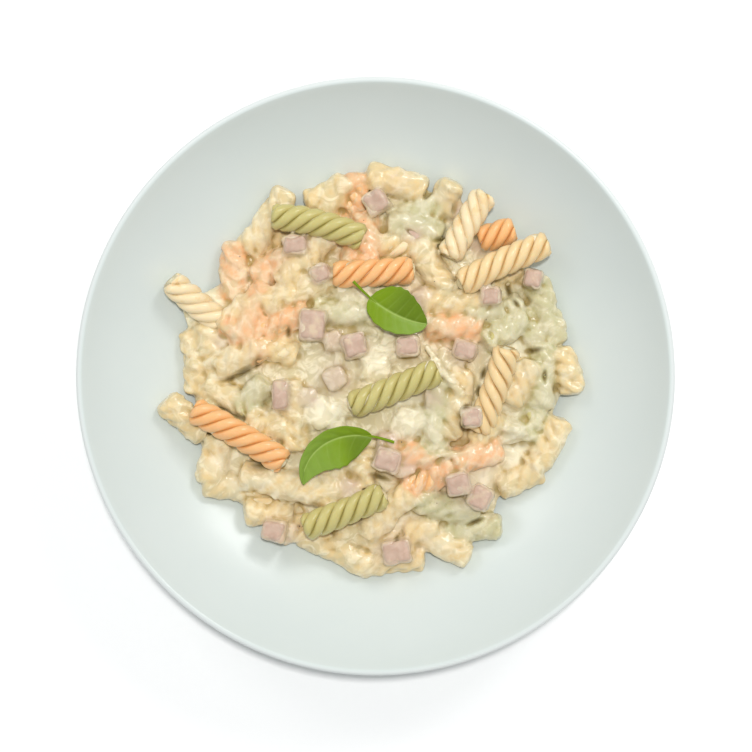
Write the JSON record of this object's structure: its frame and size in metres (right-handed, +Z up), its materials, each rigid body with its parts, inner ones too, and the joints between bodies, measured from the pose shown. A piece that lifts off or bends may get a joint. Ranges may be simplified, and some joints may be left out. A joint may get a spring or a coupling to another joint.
{
  "type": "bowl of pasta carbonara",
  "caption": "Round shallow coupe bowl holding a low heap of three-colour fusilli in cream sauce, with diced ham and basil leaves on top.",
  "frame": {"origin": "middle of the foot ring's underside, on the surface that the bowl stands on", "axes": "+Z up through the middle of the bowl; +X to the right and +Y to the top of the dish as it is seen in plan"},
  "size_m": [0.2498, 0.2498, 0.0492],
  "materials": {
    "bowl_glaze": "glossy pale grey-green glazed porcelain",
    "cream_sauce": "thick moist cream sauce over pasta",
    "pasta_spinach": "moist cooked spinach pasta",
    "pasta_tomato": "moist cooked tomato pasta",
    "pasta_plain": "moist cooked wheat pasta",
    "cooked_ham": "moist cooked ham",
    "basil": "fresh leaf with a soft gloss"
  },
  "bodies": {
    "root": {"bowl": "bowl_glaze", "pasta_heap": "cream_sauce", "fusilli_green_centre": "pasta_spinach", "fusilli_green_top": "pasta_spinach", "fusilli_green_bottom": "pasta_spinach", "fusilli_orange_left": "pasta_tomato", "fusilli_orange_middle": "pasta_tomato", "fusilli_orange_edge": "pasta_tomato", "fusilli_plain_top_right": "pasta_plain", "fusilli_plain_right": "pasta_plain", "fusilli_plain_left": "pasta_plain", "fusilli_plain_top": "pasta_plain", "ham_dice_01": "cooked_ham", "ham_dice_02": "cooked_ham", "ham_dice_03": "cooked_ham", "ham_dice_04": "cooked_ham", "ham_dice_05": "cooked_ham", "ham_dice_06": "cooked_ham", "ham_dice_07": "cooked_ham", "ham_dice_08": "cooked_ham", "ham_dice_09": "cooked_ham", "ham_dice_10": "cooked_ham", "ham_dice_11": "cooked_ham", "ham_dice_12": "cooked_ham", "ham_dice_13": "cooked_ham", "ham_dice_14": "cooked_ham", "ham_dice_15": "cooked_ham", "ham_dice_16": "cooked_ham", "basil_leaf_top": "basil", "basil_leaf_bottom": "basil"}
  },
  "joints": []
}
